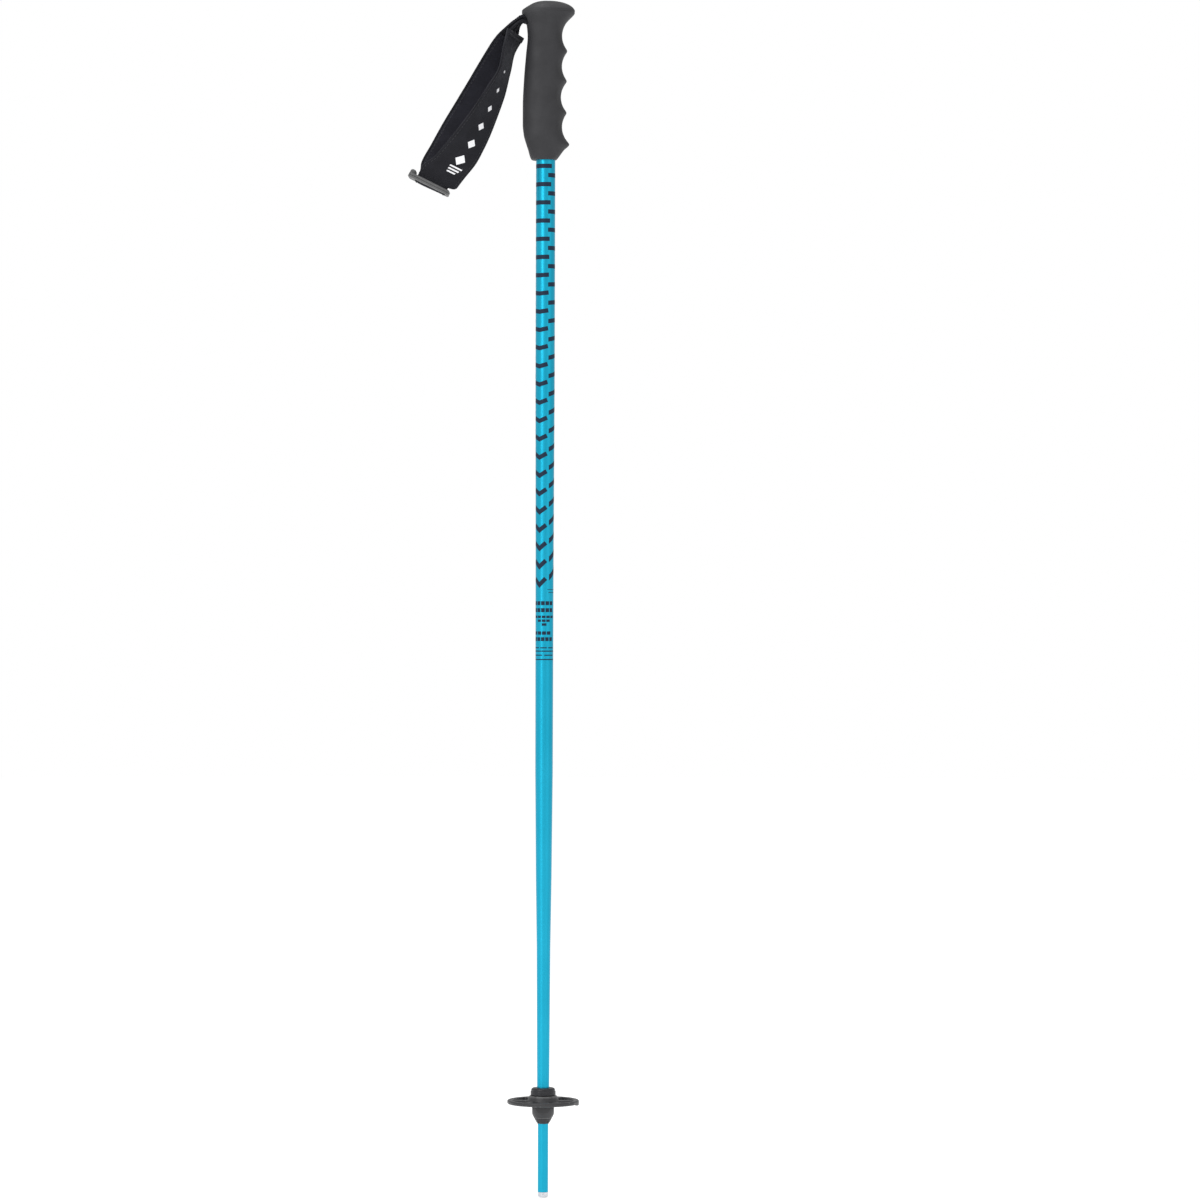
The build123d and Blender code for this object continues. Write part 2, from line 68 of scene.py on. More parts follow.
# ---- Driving dimensions ----
TUBE_LOW, TUBE_HIGH = box_mm("shaft_tube")
TUBE_WALL = 1.2
SHAFT_STATIONS = [             # height and outside diameter of the tube
    (TUBE_LOW[2], 8.8),
    (62.0, 8.8),
    (92.0, 10.2),
    (208.0, 11.4),
    (268.0, 13.1),
    (356.0, 14.6),
    (540.0, 15.0),
    (680.0, 16.0),
    (TUBE_HIGH[2], 16.0),
]

# Grip: height, back, front and half width, before the finger grooves
GRIP_STATIONS = [
    (867.0, -12.0, 9.0, 10.9),
    (871.0, -13.5, 11.9, 11.7),
    (875.2, -14.6, 15.0, 12.3),
    (880.6, -16.4, 19.9, 13.0),
    (888.0, -18.4, 19.3, 13.7),
    (897.0, -19.3, 18.8, 14.1),
    (912.0, -19.3, 18.2, 14.3),
    (935.0, -18.3, 18.1, 14.1),
    (955.0, -16.7, 18.5, 13.8),
    (970.0, -15.4, 17.6, 13.9),
    (979.0, -16.1, 17.2, 14.3),
    (984.5, -17.5, 20.2, 15.3),
    (988.0, -19.2, 22.8, 16.5),
    (989.9, -20.3, 24.0, 17.3),
    (990.5, -20.3, 24.0, 17.3),
]
CROWN_STATIONS = [
    (990.6, -20.3, 24.0, 17.3),
    (991.2, -20.3, 24.1, 17.3),
    (992.2, -19.9, 24.0, 17.1),
    (994.0, -17.6, 22.9, 16.0),
    (996.2, -14.1, 20.2, 13.9),
    (998.2, -10.4, 15.6, 10.6),
    (999.5, -5.6, 10.0, 6.6),
    (1000.0, -1.6, 5.4, 3.2),
]
SECTION_POWER = 2.3            # 2 is an ellipse, and more is squarer
GROOVES = [                    # height of each finger groove, and how far its valley is from the axis
    (894.8, 13.6),
    (919.7, 12.6),
    (945.4, 13.4),
    (970.9, 13.5),
]
GROOVE_RADIUS = 18.5
GROOVE_FADE = (0.12, 0.86)     # how far forward on the grip a groove starts, and where it is full
RIDGE_ROUNDING = 0.7
GRIP_SIDES = 160
# Inset and rise of the rings that round the grip's lower and upper edges
GRIP_LIP = [(1.4, 0.0), (0.7, 0.12), (0.25, 0.5)]
GRIP_RIM = [(0.05, -0.06), (0.3, 0.0)]
GRIP_SPACING = 0.6
GRIP_BODY_RISE = 1.2           # height of the first plain ring over the grip's lower edge
CORE_RADIUS = 12.0
GRIP_BORE = 8.0
MOUTH_HALF_WIDTH = 7.7
MOUTH_HALF_HEIGHT = 4.0
MOUTH_CORNER = 2.2
# How much wider the mouth is at each X
MOUTH_FLARES = [(-26.0, 1.2), (-19.6, 0.7), (-16.8, 0.0), (-8.0, 0.0)]
CROWN_INSET = 0.2
CROWN_FIRST_SHARE = 0.06
CROWN_RINGS = 44

# Strap
STRAP_LEAN = radians(26)
ACROSS = np.array([cos(STRAP_LEAN), 0, -sin(STRAP_LEAN)])
DEEP = np.array([0.0, 1.0, 0.0])
UPWARD = np.array([sin(STRAP_LEAN), 0, cos(STRAP_LEAN)])
BUCKLE_CENTRE = np.array([-97.0, 0.0, 847.4])
PIN = np.array([-5.5, 0.0, 984.0])
WEB_HALF = 0.9                 # half thickness of the webbing
LINING_THICKNESS = 1.0
FOLD_RADIUS = 3.1              # middle of the webbing round the slider's bar
PIN_FOLD_RADIUS = 2.75         # middle of the webbing round the pin
BAND_AT_BUCKLE = 27.0
BAND_OFFSET = 1.9
BAND_SPACING = 0.4             # between the places where a band's curves are worked out
RING_SPACING = 0.42            # between the rings of its mesh
END_SHARE = 0.45               # thickness of a loose end as a share of the band's
END_TAPER = 0.9
RIB_PITCH = 1.9
RIB_DEPTH = 0.13
RIB_ABOVE = 1.05               # the part of the bead that is ribbed, as a share of the half thickness
BOUND_EDGE = [                 # distance from the edge, and lift as a share of the half thickness
    (0.0, 0.0), (0.12, 0.6), (0.45, 1.02), (1.0, 1.16), (1.6, 1.12), (2.0, 0.84), (2.4, 0.84), (3.0, 1.0),
]
PLAIN_EDGE = [(0.0, 0.0), (0.1, 0.55), (0.35, 0.85), (0.9, 1.0), (1.8, 1.0)]
PLEAT_DEPTH = 0.75
SLACK_DEPTH = 0.22             # slow unevenness along the middle of a band
SLACK_LENGTH = 17.0
RIPPLE_DEPTH = 0.12            # quicker unevenness, right across it
RIPPLE_LENGTH = 7.3
HEM_START = 0.2                # the front band's top end is folded over between these
HEM_END = 5.5
HEM_THICKNESS = 1.0
HEM_SHARE = 0.97               # width of the hem as a share of its band's
LINING_SHARE = 0.86            # width of a lining as a share of its band's
LINING_START = 8.0             # how far in from the start of its band each lining begins
FRONT_LINING_STOP = 6.0        # how far short of the end of its band it stops
BACK_LINING_STOP = 13.0
TAIL_HALF = 0.75               # half thickness of the tail
TAIL_GAP = 0.35
STITCH_LENGTH = 2.3
STITCH_PITCH = 3.1
STITCH_HALF_WIDTH = 0.26
STITCH_FLATNESS = 0.8
STITCH_RINGS = [               # share of the stitch's length, size and rise of its rings
    (-0.5, 0.4, -0.28), (-0.36, 0.9, -0.04), (0, 1.0, 0.05), (0.36, 0.9, -0.04), (0.5, 0.4, -0.28),
]
STITCH_SIDES = 6
BAND_STITCH_INSET = 2.2        # from a band's edge
LINING_STITCH_INSET = 1.3      # from a lining's edge
BEAD_HOLLOW = 0.86             # lift of a band's surface where its stitches are, as a share
TACK_INSET = 3.4
TACK_ROWS = (1.4, 4.1)
TACK_PITCH = 0.9
TACK_SLANT = 0.5

# Strap print, along and across the front band
PRINT_DEPTH = 0.05
PRINT_PROUD = 0.06
DIAMOND_SIZES = (3.2, 4.8, 6.0, 7.3, 8.7, 10.6)
DIAMOND_SHARE = 0.42           # half width of a diamond as a share of its length
FIRST_DIAMOND = 37.0
DIAMOND_PITCH = 16.5
LAST_ACROSS = 3.3              # the diamonds drift across the band towards this
DRIFT = 5.1
DRIFT_FADE = 1.8
BAR_LENGTHS = (11.0, 9.5, 7.5)
FIRST_BAR = 127.2
BAR_GAP = 2.8
BARS_ACROSS = 4.5
BAR_WEIGHT = 1.4


# ---- Curves and meshes ----
def eased(knots, values, places):
    """Values at some places on a smooth curve that doesn't overshoot its knots."""
    knots, values = np.asarray(knots, float), np.asarray(values, float)
    steps = np.diff(knots)
    slopes = np.diff(values) / steps
    same_way = slopes[:-1] * slopes[1:] > 0
    sums = np.where(same_way, slopes[:-1] + slopes[1:], 1)
    pairs = np.where(same_way, 2 * slopes[:-1] * slopes[1:] / sums, 0)
    tangents = np.concatenate([slopes[:1], pairs, slopes[-1:]])
    return cubic(knots, values, tangents, places)


def smooth(knots, values, places):
    """Values at some places on a flowing curve through its knots."""
    knots, values = np.asarray(knots, float), np.asarray(values, float)
    return cubic(knots, values, np.gradient(values, knots), places)


def cubic(knots, values, tangents, places):
    """Values at some places on a cubic curve with a given slope at each knot."""
    places = np.clip(places, knots[0], knots[-1])
    span = np.clip(np.searchsorted(knots, places, side="right") - 1, 0, len(knots) - 2)
    step = knots[span + 1] - knots[span]
    t = (places - knots[span]) / step
    start = (2 * t**3 - 3 * t**2 + 1) * values[span] + (t**3 - 2 * t**2 + t) * step * tangents[span]
    return start + (3 * t**2 - 2 * t**3) * values[span + 1] + (t**3 - t**2) * step * tangents[span + 1]


def ramp_up(low, high, value):
    """0 below low, 1 above high and an S-shaped rise between."""
    t = np.clip((np.asarray(value, float) - low) / (high - low), 0, 1)
    return t * t * (3 - 2 * t)


def add_piece(name, points, faces, material, crease=40, uv=None):
    """Object made of one closed mesh, or several, with its faces turned outwards."""
    mesh = bpy.data.meshes.new(name)
    mesh.from_pydata((np.asarray(points) * MM).tolist(), [], faces)
    if uv is not None:
        layer = mesh.uv_layers.new(name="Cloth")
        corners = np.zeros(len(mesh.loops), int)
        mesh.loops.foreach_get("vertex_index", corners)
        layer.data.foreach_set("uv", np.asarray(uv)[corners].ravel())
    shell = bmesh.new()
    shell.from_mesh(mesh)
    bmesh.ops.recalc_face_normals(shell, faces=shell.faces)
    shell.to_mesh(mesh)
    shell.free()
    mesh.shade_smooth()
    mesh.set_sharp_from_angle(angle=radians(crease))
    mesh.materials.append(material)
    piece = bpy.data.objects.new(name, mesh)
    bpy.context.scene.collection.objects.link(piece)
    return piece


def ring_faces(ring_count, ring_size, looped=False):
    """Quads between neighbouring rings, with the last ring joined to the first or both ends closed."""
    faces = []
    for ring in range(ring_count if looped else ring_count - 1):
        here = ring * ring_size
        there = (ring + 1) % ring_count * ring_size
        for spot in range(ring_size):
            after = (spot + 1) % ring_size
            faces.append((here + spot, here + after, there + after, there + spot))
    if not looped:
        faces.append(tuple(range(ring_size)))
        last = (ring_count - 1) * ring_size
        faces.append(tuple(range(last + ring_size - 1, last - 1, -1)))
    return faces


def lathe(name, profile, material, sides=128, crease=40):
    """Turned body on the shaft's axis from a closed profile of (radius, height)."""
    angles = np.arange(sides) * tau / sides
    circle = np.stack([np.cos(angles), np.sin(angles), np.zeros(sides)], 1)
    rings = [circle * radius + np.array([0, 0, height]) for radius, height in profile]
    faces = ring_faces(len(rings), sides, looped=True)
    return add_piece(name, np.concatenate(rings), faces, material, crease)


def joined(name, shells, material, crease=40):
    """One object from several closed shells, each given as its points and faces."""
    points, faces, start = [], [], 0
    for shell_points, shell_faces in shells:
        points.append(np.asarray(shell_points, float))
        faces += [tuple(start + corner for corner in face) for face in shell_faces]
        start += len(shell_points)
    return add_piece(name, np.concatenate(points), faces, material, crease)


# ---- Materials ----
class Finish:
    """A material with one Principled shader, and short ways to add its nodes."""

    def __init__(self, name, colour, roughness, **sockets):
        self.material = bpy.data.materials.new(name)
        self.material.use_nodes = True
        self.tree = self.material.node_tree
        self.shader = self.tree.nodes["Principled BSDF"]
        self.shader.inputs["Base Color"].default_value = (*colour, 1)
        self.shader.inputs["Roughness"].default_value = roughness
        for socket, value in sockets.items():
            self.shader.inputs[socket.replace("_", " ")].default_value = value

    def add(self, kind, **settings):
        node = self.tree.nodes.new(kind)
        for name, value in settings.items():
            setattr(node, name, value)
        return node

    def plug(self, value, socket):
        """Links an output to a socket, or sets the socket to a plain value."""
        if isinstance(value, bpy.types.NodeSocket):
            self.tree.links.new(value, socket)
        else:
            socket.default_value = value

    def place(self, scale=(1, 1, 1), source="Object"):
        """Coordinates in millimetres, divided by a feature size along each axis."""
        coordinates = self.add("ShaderNodeTexCoord")
        mapping = self.add("ShaderNodeMapping")
        unit = MM if source == "Object" else 1
        mapping.inputs["Scale"].default_value = [1 / (size * unit) for size in scale]
        self.plug(coordinates.outputs[source], mapping.inputs["Vector"])
        return mapping.outputs["Vector"]

    def noise(self, size, detail=3.0, roughness=0.5, stretch=(1, 1, 1), source="Object"):
        """Grain whose features are about size millimetres across."""
        texture = self.add("ShaderNodeTexNoise")
        self.plug(self.place([size * part for part in stretch], source), texture.inputs["Vector"])
        texture.inputs["Scale"].default_value = 1.0
        texture.inputs["Detail"].default_value = detail
        texture.inputs["Roughness"].default_value = roughness
        return texture.outputs["Fac"]

    def maths(self, operation, first, second=0.0, third=0.0):
        node = self.add("ShaderNodeMath", operation=operation)
        for socket, value in zip(node.inputs, (first, second, third)):
            self.plug(value, socket)
        return node.outputs[0]

    def spread(self, value, low, high, start=0.0, end=1.0):
        """Value from between low and high to between start and end."""
        node = self.add("ShaderNodeMapRange")
        for socket, setting in zip(("From Min", "From Max", "To Min", "To Max"), (low, high, start, end)):
            node.inputs[socket].default_value = setting
        self.plug(value, node.inputs["Value"])
        return node.outputs["Result"]

    def blend(self, share, first, second):
        """Colour between two colours."""
        node = self.add("ShaderNodeMix", data_type="RGBA")
        self.plug(share, node.inputs["Factor"])
        for socket, colour in (("A", first), ("B", second)):
            inputs = [entry for entry in node.inputs if entry.name == socket and entry.type == "RGBA"]
            self.plug((*colour, 1) if isinstance(colour, tuple) else colour, inputs[0])
        return [entry for entry in node.outputs if entry.type == "RGBA"][0]

    def colour(self, value):
        self.plug(value, self.shader.inputs["Base Color"])

    def roughness(self, value):
        self.plug(value, self.shader.inputs["Roughness"])

    def bump(self, *layers):
        """Stacked bumps, each given as a height from 0 to 1 and its depth in millimetres."""
        normal = None
        for height, depth in layers:
            node = self.add("ShaderNodeBump")
            node.inputs["Strength"].default_value = 1.0
            node.inputs["Distance"].default_value = depth * MM
            self.plug(height, node.inputs["Height"])
            if normal is not None:
                self.plug(normal, node.inputs["Normal"])
            normal = node.outputs["Normal"]
        self.plug(normal, self.shader.inputs["Normal"])

    def sharp_edges(self, low=0.52, high=0.6):
        """1 on sharp edges and 0 elsewhere."""
        geometry = self.add("ShaderNodeNewGeometry")
        return self.spread(geometry.outputs["Pointiness"], low, high)


def anodised_blue():
    """Satin anodised tube, with fine drawing lines along its length."""
    deep, base, light = (0.010, 0.355, 0.53), (0.012, 0.37, 0.55), (0.015, 0.39, 0.575)
    finish = Finish("shaft_aluminium", base, 0.34, Metallic=0.7, Specular_IOR_Level=0.2)
    cloud = finish.noise(60, detail=2)
    finish.colour(finish.blend(finish.spread(cloud, 0.35, 0.65), deep, light))
    lines = finish.noise(0.22, detail=2, stretch=(1, 1, 90))
    finish.roughness(finish.spread(lines, 0.3, 0.7, 0.29, 0.40))
    finish.bump((lines, 0.012), (finish.noise(0.35), 0.006))
    return finish.material


def shaft_ink():
    """Screen-printed ink, a little duller than the tube."""
    deep, base, light = (0.005, 0.016, 0.038), (0.006, 0.019, 0.044), (0.010, 0.026, 0.054)
    finish = Finish("shaft_ink", base, 0.5, Specular_IOR_Level=0.2)
    speckle = finish.noise(0.5, detail=4)
    finish.colour(finish.blend(finish.spread(speckle, 0.4, 0.7), deep, light))
    finish.bump((finish.noise(0.25), 0.01))
    return finish.material


def soft_rubber(name, base, lighter_tone):
    """Soft-touch rubber with an eroded mould texture and slightly lighter edges."""
    finish = Finish(name, base, 0.62, Specular_IOR_Level=0.32)
    patches = finish.noise(14, detail=3)
    grain = finish.noise(0.42, detail=4, roughness=0.65)
    fine = finish.noise(0.15, detail=2)
    body = finish.blend(finish.spread(patches, 0.35, 0.65), base, tuple(0.86 * part for part in base))
    speckled = finish.blend(finish.spread(grain, 0.62, 0.78, 0.0, 0.35), body, lighter_tone)
    finish.colour(finish.blend(finish.maths("MULTIPLY", finish.sharp_edges(), 0.5), speckled, lighter_tone))
    finish.roughness(finish.spread(patches, 0.3, 0.7, 0.56, 0.7))
    finish.bump((grain, 0.07), (fine, 0.02))
    return finish.material


def moulded_plastic(name, base, lighter_tone, roughness, specular=0.4):
    """Injection-moulded plastic with spark-eroded grain and lighter edges: rubbed edges on most parts,
    and a painted highlight along the basket's rims.
    """
    finish = Finish(name, base, roughness, Specular_IOR_Level=specular)
    scuffs = finish.noise(3.5, detail=5, roughness=0.7)
    grain = finish.noise(0.3, detail=3)
    # Mask of rubbed edges; with the basket's light tone it paints highlights along its rims.
    rubbed_and_lit_edges = finish.maths("MULTIPLY", finish.sharp_edges(), finish.spread(scuffs, 0.35, 0.7, 0.2, 0.9))
    body = finish.blend(finish.spread(scuffs, 0.3, 0.7), base, tuple(1.25 * part for part in base))
    finish.colour(finish.blend(rubbed_and_lit_edges, body, lighter_tone))
    finish.roughness(finish.spread(scuffs, 0.3, 0.7, roughness - 0.06, roughness + 0.08))
    finish.bump((grain, 0.03), (scuffs, 0.02))
    return finish.material


def turned_metal(name, base, roughness, pitch):
    """Metal with fine rings from the lathe."""
    finish = Finish(name, base, roughness, Metallic=1.0)
    rings = finish.noise(pitch, detail=2, stretch=(60, 60, 1))
    stains = finish.noise(2.2, detail=4)
    dull = tuple(0.82 * part for part in base)
    finish.colour(finish.blend(finish.spread(stains, 0.35, 0.7), base, dull))
    finish.roughness(finish.spread(stains, 0.3, 0.7, roughness - 0.05, roughness + 0.1))
    finish.bump((rings, 0.02))
    return finish.material


def cloth_weave(finish, column, row):
    """Height of a plain weave, from 0 in the gaps to 1 on the yarns, in the cloth's own coordinates."""
    split = finish.add("ShaderNodeSeparateXYZ")
    finish.plug(finish.place((column, row, 1), source="UV"), split.inputs["Vector"])
    stagger = finish.maths("MULTIPLY", finish.maths("FLOOR", split.outputs["X"]), 0.5)
    rows = finish.maths("ADD", split.outputs["Y"], stagger)
    humps = []
    for place, sharpness in ((split.outputs["X"], 0.6), (rows, 0.5)):
        sine = finish.maths("SINE", finish.maths("MULTIPLY", place, pi))
        humps.append(finish.maths("POWER", finish.maths("ABSOLUTE", sine), sharpness))
    return finish.maths("MULTIPLY", *humps)


def woven_cloth(name, base, light, column, row, depth):
    """Woven polyester: yarns with painted shade in the gaps between them, a little fuzz and faint lighter
    rubbed patches.
    """
    finish = Finish(name, base, 0.82, Specular_IOR_Level=0.2, Sheen_Weight=0.12, Sheen_Roughness=0.5)
    finish.shader.inputs["Sheen Tint"].default_value = (0.5, 0.52, 0.6, 1)
    weave = cloth_weave(finish, column, row)
    fuzz = finish.noise(0.18, detail=3, source="UV")
    drift = finish.noise(11, detail=3, source="UV")
    yarn = finish.blend(finish.spread(drift, 0.35, 0.7), base, light)
    # Painted shade: the gaps between the yarns are darkened to 0.35 of the yarn colour.
    gap_shade = tuple(0.35 * part for part in base)
    shade = finish.maths("MULTIPLY", weave, finish.spread(fuzz, 0.2, 0.8, 0.75, 1.1))
    finish.colour(finish.blend(shade, gap_shade, yarn))
    finish.roughness(finish.spread(weave, 0.0, 1.0, 0.95, 0.74))
    finish.bump((weave, depth), (fuzz, 0.03))
    return finish.material


def sewing_thread(name, base):
    """Twisted thread."""
    finish = Finish(name, base, 0.6, Sheen_Weight=0.1)
    twist = finish.noise(0.16, detail=1, stretch=(1, 1, 0.5))
    finish.colour(finish.blend(twist, tuple(0.5 * part for part in base), base))
    finish.bump((twist, 0.05))
    return finish.material


def strap_ink():
    """White rubbery print, thin enough for the weave to show through."""
    finish = Finish("strap_ink", (0.78, 0.78, 0.8), 0.55)
    crackle = finish.noise(0.5, detail=4, roughness=0.7)
    finish.colour(finish.blend(finish.spread(crackle, 0.3, 0.5), (0.5, 0.5, 0.52), (0.82, 0.82, 0.84)))
    finish.bump((crackle, 0.04))
    return finish.material


BLUE = anodised_blue()
SHAFT_INK = shaft_ink()
GRIP_RUBBER = soft_rubber("grip_rubber", (0.030, 0.030, 0.033), (0.07, 0.07, 0.075))
CROWN_RUBBER = soft_rubber("crown_rubber", (0.031, 0.031, 0.034), (0.066, 0.066, 0.07))
SLEEVE = moulded_plastic("sleeve_plastic", (0.014, 0.014, 0.017), (0.06, 0.06, 0.065), 0.36)
# The basket's light edge tone (0.24) paints highlights along its rims and edges.
BASKET = moulded_plastic("basket_plastic", (0.028, 0.028, 0.030), (0.24, 0.24, 0.24), 0.42)
SLIDER = moulded_plastic("buckle_plastic", (0.076, 0.076, 0.077), (0.20, 0.20, 0.20), 0.48)
WEDGE = moulded_plastic("wedge_plastic", (0.004, 0.004, 0.005), (0.006, 0.006, 0.007), 0.7, specular=0.1)
CORE = moulded_plastic("core_nylon", (0.03, 0.03, 0.03), (0.08, 0.08, 0.08), 0.5)
TIP_METAL = turned_metal("tip_metal", (0.66, 0.67, 0.70), 0.2, 0.3)
INSERT_METAL = turned_metal("tip_insert_metal", (0.93, 0.93, 0.95), 0.12, 0.2)
STEEL = turned_metal("steel_hardware", (0.6, 0.6, 0.61), 0.35, 0.3)
WEBBING = woven_cloth("strap_webbing", (0.014, 0.014, 0.018), (0.021, 0.021, 0.027), 1.1, 0.8, 0.16)
LINING = woven_cloth("strap_lining", (0.019, 0.019, 0.027), (0.030, 0.030, 0.042), 0.7, 0.7, 0.12)
THREAD = sewing_thread("strap_thread", (0.020, 0.020, 0.026))
STRAP_INK = strap_ink()

NODE_FINISHES = {
    "tip_ferrule": TIP_METAL,
    "tip_insert": INSERT_METAL,
    "basket_sleeve": SLEEVE,
    "basket_collet": SLEEVE,
    "basket": BASKET,
    "strap_buckle": SLIDER,
    "tube_plug": CORE,
    "grip_core": CORE,
    "strap_anchor": CORE,
    "strap_wedge": WEDGE,
    "strap_pin": STEEL,
    "strap_screw": STEEL,
    "screw_washer": STEEL,
}
for node_name, finish_material in NODE_FINISHES.items():
    nodes[node_name].material_slots[0].material = finish_material


# ---- Shaft ----
def shaft_radius(height):
    heights, widths = zip(*SHAFT_STATIONS)
    return float(np.interp(height, heights, widths)) / 2


def make_shaft():
    """Tube with its wall, and a softened edge at each end."""
    outside = [(width / 2, height) for height, width in SHAFT_STATIONS]
    inside = [(width / 2 - TUBE_WALL, height) for height, width in reversed(SHAFT_STATIONS)]
    edge = 0.25
    (low_radius, low), (high_radius, high) = outside[0], outside[-1]
    outside[0] = (low_radius, low + edge)
    outside[-1] = (high_radius, high - edge)
    profile = [(low_radius - edge, low)] + outside + [(high_radius - edge, high)] + inside
    shaft = lathe("shaft", profile, BLUE, sides=160)
    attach(shaft, "pole")
    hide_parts("shaft_tube")


INK_PROUD = 0.05               # how far the ink stands over the tube
INK_DEPTH = 0.12               # how thick its shell is, down into the tube
BAR_TALL = 3.6
BAR_PITCH = 15.2
BAR_ROWS = 24
TOP_ROW = 861.6
MITRE_ANGLE = -34.0            # where the slanted bars meet, in degrees from -Y towards +X
LEVEL_ABOVE = 792.0
FULL_TILT_AT = 516.0
FULL_TILT = 45.0               # all angles are in degrees
BAR_REACH = 51.0               # angle that an inner bar covers on each side of the mitre line
TOP_BAR_EXTRA = 24.0           # how much more the top bar covers
EXTRA_FADE = 4.5               # rows over which that fades
TILTED_LOSS = 9.0              # how much less a fully tilted bar covers
OUTER_START = 16.0             # angle from -Y where the outer bars start
OUTER_SHIFT = 15.0             # how much further round they start when fully tilted
OUTER_DROP = 1.5               # and how much lower they sit
BACK_GAP = 0.06                # radians left between the outer bars at the back
TILTED_BACK_GAP = 0.25         # radians added when fully tilted
DASH_ROWS = [                  # height, how tall, first and last angle, and number of dashes
    (508.2, 0.5, 20, 90, 1),
    (505.8, 0.5, 26, 90, 1),
    (496.8, 3.3, -80, 66, 5),
    (491.0, 3.3, -80, 66, 5),
    (485.4, 2.0, -76, 72, 5),
    (482.2, 2.0, -46, 42, 3),
    (479.0, 2.0, -17, 14, 1),
    (471.9, 2.8, -78, 48, 4),
    (466.8, 3.2, -78, 62, 5),
    (459.6, 0.9, -80, 80, 3),
    (456.8, 0.9, -80, 80, 1),
    (453.4, 0.9, -80, 80, 2),
    (449.8, 0.9, -80, 80, 1),
]
DASH_SHARE = 0.82              # how much of its place each dash fills


def on_tube(around, height, proud):
    """Point over the tube, from its distance round the tube and its height."""
    radius = shaft_radius(height)
    angle = around / radius
    return (radius + proud) * sin(angle), -(radius + proud) * cos(angle), height


def ink_patch(corners, steps=14, rows=4):
    """Thin shell of ink over four corners, given as distance round the tube and height."""
    corners = np.asarray(corners, float)
    rings = []
    for share in np.linspace(0, 1, steps + 1):
        low = corners[0] + share * (corners[1] - corners[0])
        high = corners[3] + share * (corners[2] - corners[3])
        places = [low + rise * (high - low) for rise in np.linspace(0, 1, rows + 1)]
        outside = [on_tube(*place, INK_PROUD) for place in places]
        inside = [on_tube(*place, INK_PROUD - INK_DEPTH) for place in reversed(places)]
        rings.append(outside + inside)
    return np.concatenate(rings), ring_faces(len(rings), len(rings[0]))


def slanted_bar(row_height, start, end, side, tilt):
    """Bar in the unrolled tube that rises from the mitre line, with an upright start and a square end."""
    radius = shaft_radius(row_height)
    mitre = radians(MITRE_ANGLE) * radius
    start, end = start * radius, end * radius
    half, slope = BAR_TALL / 2, tan(tilt)
    square = half * sin(tilt)
    low_start = (start, row_height + start * slope - half / cos(tilt))
    high_start = (start, row_height + start * slope + half / cos(tilt))
    middle = row_height + end * slope
    low_end = (end + square, middle - half * cos(tilt))
    high_end = (end - square, middle + half * cos(tilt))
    outline = [low_start, low_end, high_end, high_start]
    return ink_patch([(mitre + side * around, height) for around, height in outline])


def dash(height, tall, start, end):
    """Level dash between two angles in degrees."""
    radius = shaft_radius(height)
    first, last = radians(start) * radius, radians(end) * radius
    low, high = height - tall / 2, height + tall / 2
    return ink_patch([(first, low), (last, low), (last, high), (first, high)], steps=20, rows=1)


def make_shaft_print():
    """Two columns of bars on each side of the mitre line, slanted lower down, then rows of dashes."""
    shells = []
    for row in range(BAR_ROWS):
        height = TOP_ROW - row * BAR_PITCH
        fall = float(np.clip((LEVEL_ABOVE - height) / (LEVEL_ABOVE - FULL_TILT_AT), 0, 1))
        tilt = radians(FULL_TILT) * fall
        inner_end = radians(BAR_REACH + TOP_BAR_EXTRA * exp(-row / EXTRA_FADE) - TILTED_LOSS * fall)
        outer_start = radians(OUTER_START + OUTER_SHIFT * fall - MITRE_ANGLE)
        outer_end = pi - BACK_GAP - TILTED_BACK_GAP * fall
        middle = height - BAR_PITCH / 2 - OUTER_DROP * fall
        lower = middle - outer_start * shaft_radius(height) * tan(tilt)
        for side in (-1, 1):
            shells.append(slanted_bar(height, 0, inner_end, side, tilt))
            if row < BAR_ROWS - 1:
                shells.append(slanted_bar(lower, outer_start, outer_end, side, tilt))
    for height, tall, start, end, count in DASH_ROWS:
        pitch = (end - start) / count
        for place in range(count):
            first = start + place * pitch
            shells.append(dash(height, tall, first, first + pitch * (DASH_SHARE if count > 1 else 1)))
    ink = joined("shaft_print", shells, SHAFT_INK)
    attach(ink, "pole")


make_shaft()
make_shaft_print()


# ---- Grip ----
def groove_front(height, front):
    """How far the front is from the axis after the finger grooves are cut, with rounded ridges."""
    reaches = [front]
    for groove_height, valley in GROOVES:
        rise = height - groove_height
        if abs(rise) < GROOVE_RADIUS:
            reaches.append(valley + GROOVE_RADIUS - (GROOVE_RADIUS**2 - rise**2) ** 0.5)
    weights = np.exp(-(np.array(reaches) - min(reaches)) / RIDGE_ROUNDING)
    return min(reaches) - RIDGE_ROUNDING * float(np.log(weights.sum()))


def oval_ring(height, back, front, half_width, sides, grooved_front=None):
    """Squarish oval; the grooves fade from its front towards its sides."""
    angles = np.arange(sides) * tau / sides
    forward, sideways = np.cos(angles), np.sin(angles)
    power = 2 / SECTION_POWER
    reach = np.full(sides, front)
    if grooved_front is not None:
        reach = front + (grooved_front - front) * ramp_up(*GROOVE_FADE, forward)
    reach = np.where(forward >= 0, reach, -back)
    x = reach * np.sign(forward) * np.abs(forward) ** power
    y = half_width * np.sign(sideways) * np.abs(sideways) ** power
    return np.stack([x, y, np.full(sides, height)], 1)


def round_ring(height, radius, sides):
    angles = np.arange(sides) * tau / sides
    return np.stack([radius * np.cos(angles), radius * np.sin(angles), np.full(sides, height)], 1)


def between_stations(stations, height):
    heights, *measures = zip(*stations)
    return [float(eased(heights, values, height)) for values in measures]


def inset_ring(height, section, inset):
    """Ring of the grip or the crown drawn in a little, for a rounded edge."""
    back, front, half_width = section
    return oval_ring(height, back + inset, front - inset, half_width - inset, GRIP_SIDES)


